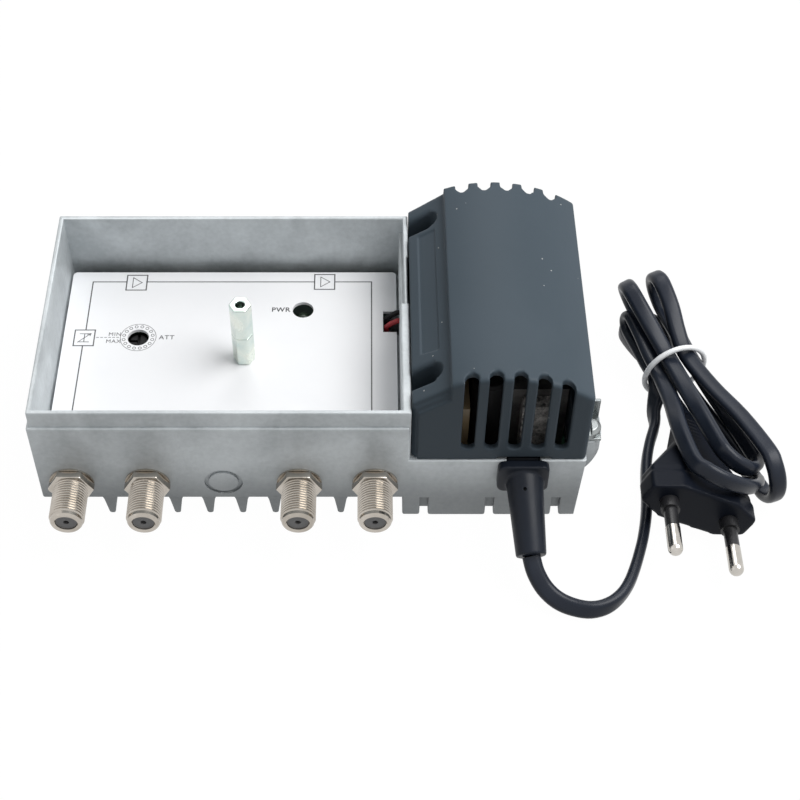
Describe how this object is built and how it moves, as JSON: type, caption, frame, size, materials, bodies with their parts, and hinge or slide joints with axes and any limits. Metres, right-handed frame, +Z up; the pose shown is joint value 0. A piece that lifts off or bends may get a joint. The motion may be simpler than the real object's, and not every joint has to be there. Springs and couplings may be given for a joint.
{
  "type": "tv signal amplifier",
  "caption": "Die-cast signal amplifier box with an open compartment, front coaxial sockets, a vented power supply cover and a flat mains lead tied in a hank.",
  "frame": {"origin": "on the standing surface, under the middle of the object without its lead", "axes": "+X along the box towards the power supply, -Y towards the sockets, +Z up"},
  "size_m": [0.2042, 0.1119, 0.0575],
  "materials": {
    "cast_metal": "as-cast grey, faintly mottled",
    "plate_white": "smooth white",
    "zinc_plate": "zinc plated",
    "nickel": "nickel plated",
    "white_plastic": "satin",
    "brass": "plain",
    "circuit_board": "solder resist",
    "black_plastic": "satin",
    "tin_plate": "tinned",
    "grey_plastic": "satin",
    "lamp_green": "clear tinted",
    "red_insulation": "satin",
    "brown_insulation": "satin",
    "cover_slate": "fine satin",
    "iron_core": "varnished laminations",
    "winding_tape": "tape",
    "tan_plastic": "dipped",
    "fuse_glass": "clear",
    "cord_vinyl": "soft satin"
  },
  "bodies": {
    "amplifier": {"housing": "cast_metal", "face_plate": "plate_white", "lower_spacer": "zinc_plate", "upper_spacer": "zinc_plate", "coax_socket_1": "nickel", "coax_socket_2": "nickel", "coax_socket_3": "nickel", "coax_socket_4": "nickel", "lock_washers": "nickel", "socket_insulators": "white_plastic", "socket_contacts": "brass", "amplifier_board": "circuit_board", "amplifier_modules": "black_plastic", "filter_cans": "tin_plate", "attenuator_case": "black_plastic", "power_lamp": "lamp_green", "supply_header": "white_plastic", "supply_lead_red": "red_insulation", "supply_lead_black": "black_plastic", "board_screws": "tin_plate", "psu_cover": "cover_slate", "cover_screws": "tin_plate", "psu_board": "circuit_board", "transformer_core": "iron_core", "transformer_winding": "winding_tape", "smoothing_capacitors": "black_plastic", "mains_capacitor": "tan_plastic", "fuse": "fuse_glass", "fuse_clips": "tin_plate", "heat_sink": "tin_plate", "regulator": "black_plastic", "strain_relief": "cord_vinyl", "inner_mains_leads": "brown_insulation", "mains_lead": "cord_vinyl", "mains_hank": "cord_vinyl", "cord_tie": "white_plastic", "plug_body": "cord_vinyl", "plug_pins": "nickel", "pin_sleeves": "black_plastic"},
    "attenuator_knob": {"attenuator_knob": "grey_plastic"},
    "earth_clamp": {"earth_clamp": "zinc_plate"},
    "earth_screw": {"earth_screw": "zinc_plate"}
  },
  "joints": [
    {"name": "attenuator_turn", "type": "hinge", "parent": "amplifier", "child": "attenuator_knob", "pos_m": [-0.0524, 0.0137, 0.02], "axis": [0, 0, 1], "continuous": true},
    {"name": "earth_clamp_lift", "type": "slide", "parent": "amplifier", "child": "earth_clamp", "axis": [0, 0, 1], "range_m": [0, 0.0021]},
    {"name": "earth_screw_turn", "type": "hinge", "parent": "earth_clamp", "child": "earth_screw", "pos_m": [0.0728, -0.0205, 0.025], "axis": [0, 0, 1], "range_deg": [0, 1080]}
  ],
  "couplings": [
    {"joint": "earth_screw_turn", "follows": "earth_clamp_lift", "rad_per_m": 8976}
  ]
}
